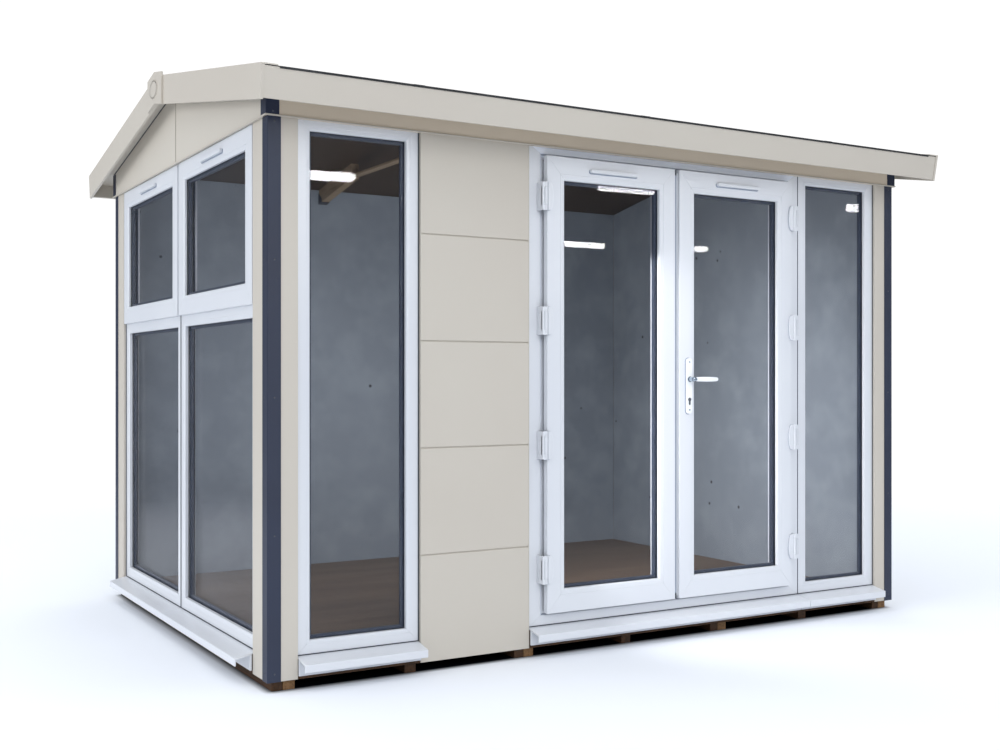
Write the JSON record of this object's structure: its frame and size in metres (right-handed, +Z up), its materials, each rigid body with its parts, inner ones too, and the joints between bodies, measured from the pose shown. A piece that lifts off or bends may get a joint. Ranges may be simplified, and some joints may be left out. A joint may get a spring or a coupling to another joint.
{
  "type": "garden office pod",
  "caption": "Insulated garden office with a low-pitch apex roof, glazed gable, tall side windows, cream wall panels and white outward-opening French doors, on timber bearers.",
  "frame": {"origin": "middle of the plan, at the ground under the bearers", "axes": "+X along the front wall towards the sidelight, +Y from the front doors to the back wall, +Z up"},
  "size_m": [3.48, 2.758, 2.5044],
  "materials": {
    "treated_timber": "rough sawn",
    "floor_boards": "satin",
    "cream_cladding": "satin",
    "grey_lining": "matt mottled",
    "anthracite_trim": "satin",
    "black_membrane": "matt",
    "dark_ceiling": "matt",
    "beige_rafter": "matt painted",
    "dark_steel": "satin",
    "white_upvc": "satin gloss",
    "clear_glass": "clear",
    "bright_handle": "polished"
  },
  "bodies": {
    "pod": {"bearers": "treated_timber", "floor_deck": "floor_boards", "base_rails": "treated_timber", "back_wall": "cream_cladding", "right_end_wall": "cream_cladding", "front_wall_ends": "cream_cladding", "cladding_panel": "cream_cladding", "gable_wall_ends": "cream_cladding", "wall_linings": "grey_lining", "header_front": "cream_cladding", "header_back": "cream_cladding", "gable_headers": "cream_cladding", "end_headers": "cream_cladding", "corner_trims": "anthracite_trim", "header_trims": "anthracite_trim", "roof_panel_front": "cream_cladding", "roof_panel_back": "cream_cladding", "roof_covering": "black_membrane", "ceiling_linings": "dark_ceiling", "fascias": "cream_cladding", "barge_boards": "cream_cladding", "ridge_plates": "cream_cladding", "rafters": "beige_rafter", "rafter_hangers": "dark_steel", "gable_sills": "white_upvc", "window_sill": "white_upvc", "door_sills": "white_upvc", "window_frame": "white_upvc", "sidelight_frame": "white_upvc", "door_frame": "white_upvc", "gable_frames": "white_upvc", "gable_sashes": "white_upvc", "front_glass": "clear_glass", "gable_glass": "clear_glass", "gable_vents": "white_upvc", "frame_hinges": "white_upvc"},
    "left_leaf": {"left_door": "white_upvc", "left_door_glass": "clear_glass", "left_door_vent": "white_upvc", "left_door_hinges": "white_upvc"},
    "right_leaf": {"right_door": "white_upvc", "right_door_glass": "clear_glass", "right_door_vent": "white_upvc", "right_door_hinges": "white_upvc", "meeting_strip": "white_upvc", "handle_plates": "bright_handle"},
    "handle": {"door_lever": "bright_handle"}
  },
  "joints": [
    {"name": "left_door_hinge", "type": "hinge", "parent": "pod", "child": "left_leaf", "pos_m": [-0.444, -1.196, 1.121], "axis": [0, 0, -1], "range_deg": [0, 100]},
    {"name": "right_door_hinge", "type": "hinge", "parent": "pod", "child": "right_leaf", "pos_m": [0.946, -1.196, 1.121], "axis": [0, 0, 1], "range_deg": [0, 100]},
    {"name": "lever_turn", "type": "hinge", "parent": "right_leaf", "child": "handle", "pos_m": [0.314, -1.19, 1.144], "axis": [0, 1, 0], "range_deg": [0, 40], "stiffness_Nm_per_rad": 2, "springref_deg": -20.05}
  ]
}
